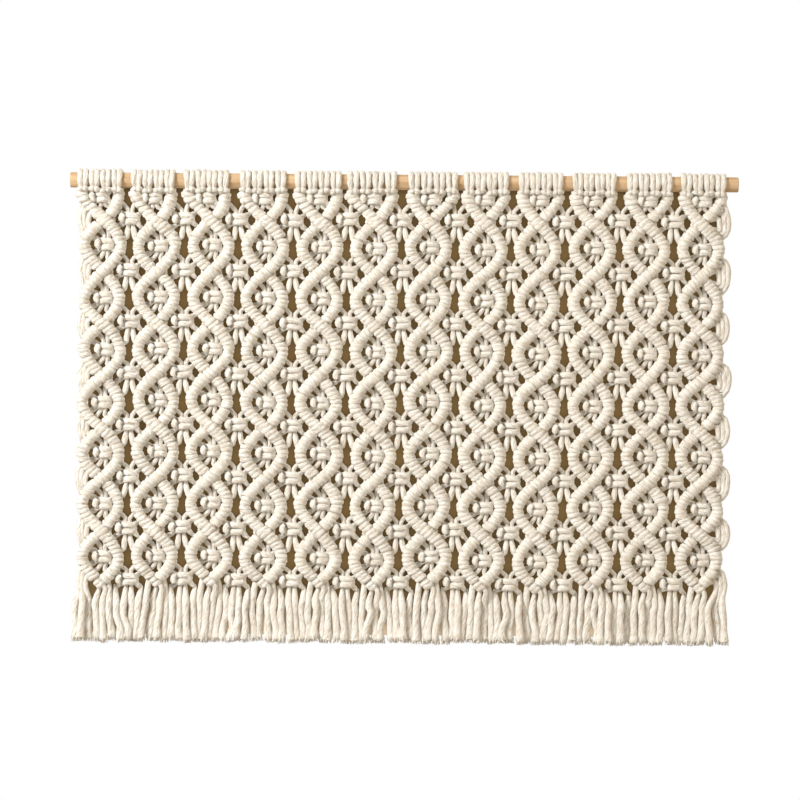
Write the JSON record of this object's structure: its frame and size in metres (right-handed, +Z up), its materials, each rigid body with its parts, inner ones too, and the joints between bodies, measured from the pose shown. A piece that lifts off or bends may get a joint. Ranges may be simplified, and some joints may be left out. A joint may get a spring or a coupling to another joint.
{
  "type": "macrame wall hanging on a wooden dowel",
  "caption": "Knotted cotton cord wall hanging: chains of eyes between winding hitched bars, square knots and a loose fringe, mounted on a round wooden dowel.",
  "frame": {"origin": "middle of the dowel's axis, where wall hooks hold the hanging up", "axes": "+X along the dowel to the right as seen from the front, +Y into the wall, +Z up; the front faces -Y"},
  "size_m": [0.61, 0.0203, 0.4351],
  "materials": {
    "cotton_cord": "natural cream single-strand cotton, matte with a soft sheen",
    "pine": "bare light pine, fine straight grain"
  },
  "bodies": {
    "root": {"dowel": "pine", "net": "cotton_cord", "fringe": "cotton_cord", "heading_01": "cotton_cord", "heading_02": "cotton_cord", "heading_03": "cotton_cord", "heading_04": "cotton_cord", "heading_05": "cotton_cord", "heading_06": "cotton_cord", "heading_07": "cotton_cord", "heading_08": "cotton_cord", "heading_09": "cotton_cord", "heading_10": "cotton_cord", "heading_11": "cotton_cord", "heading_12": "cotton_cord"}
  },
  "joints": []
}
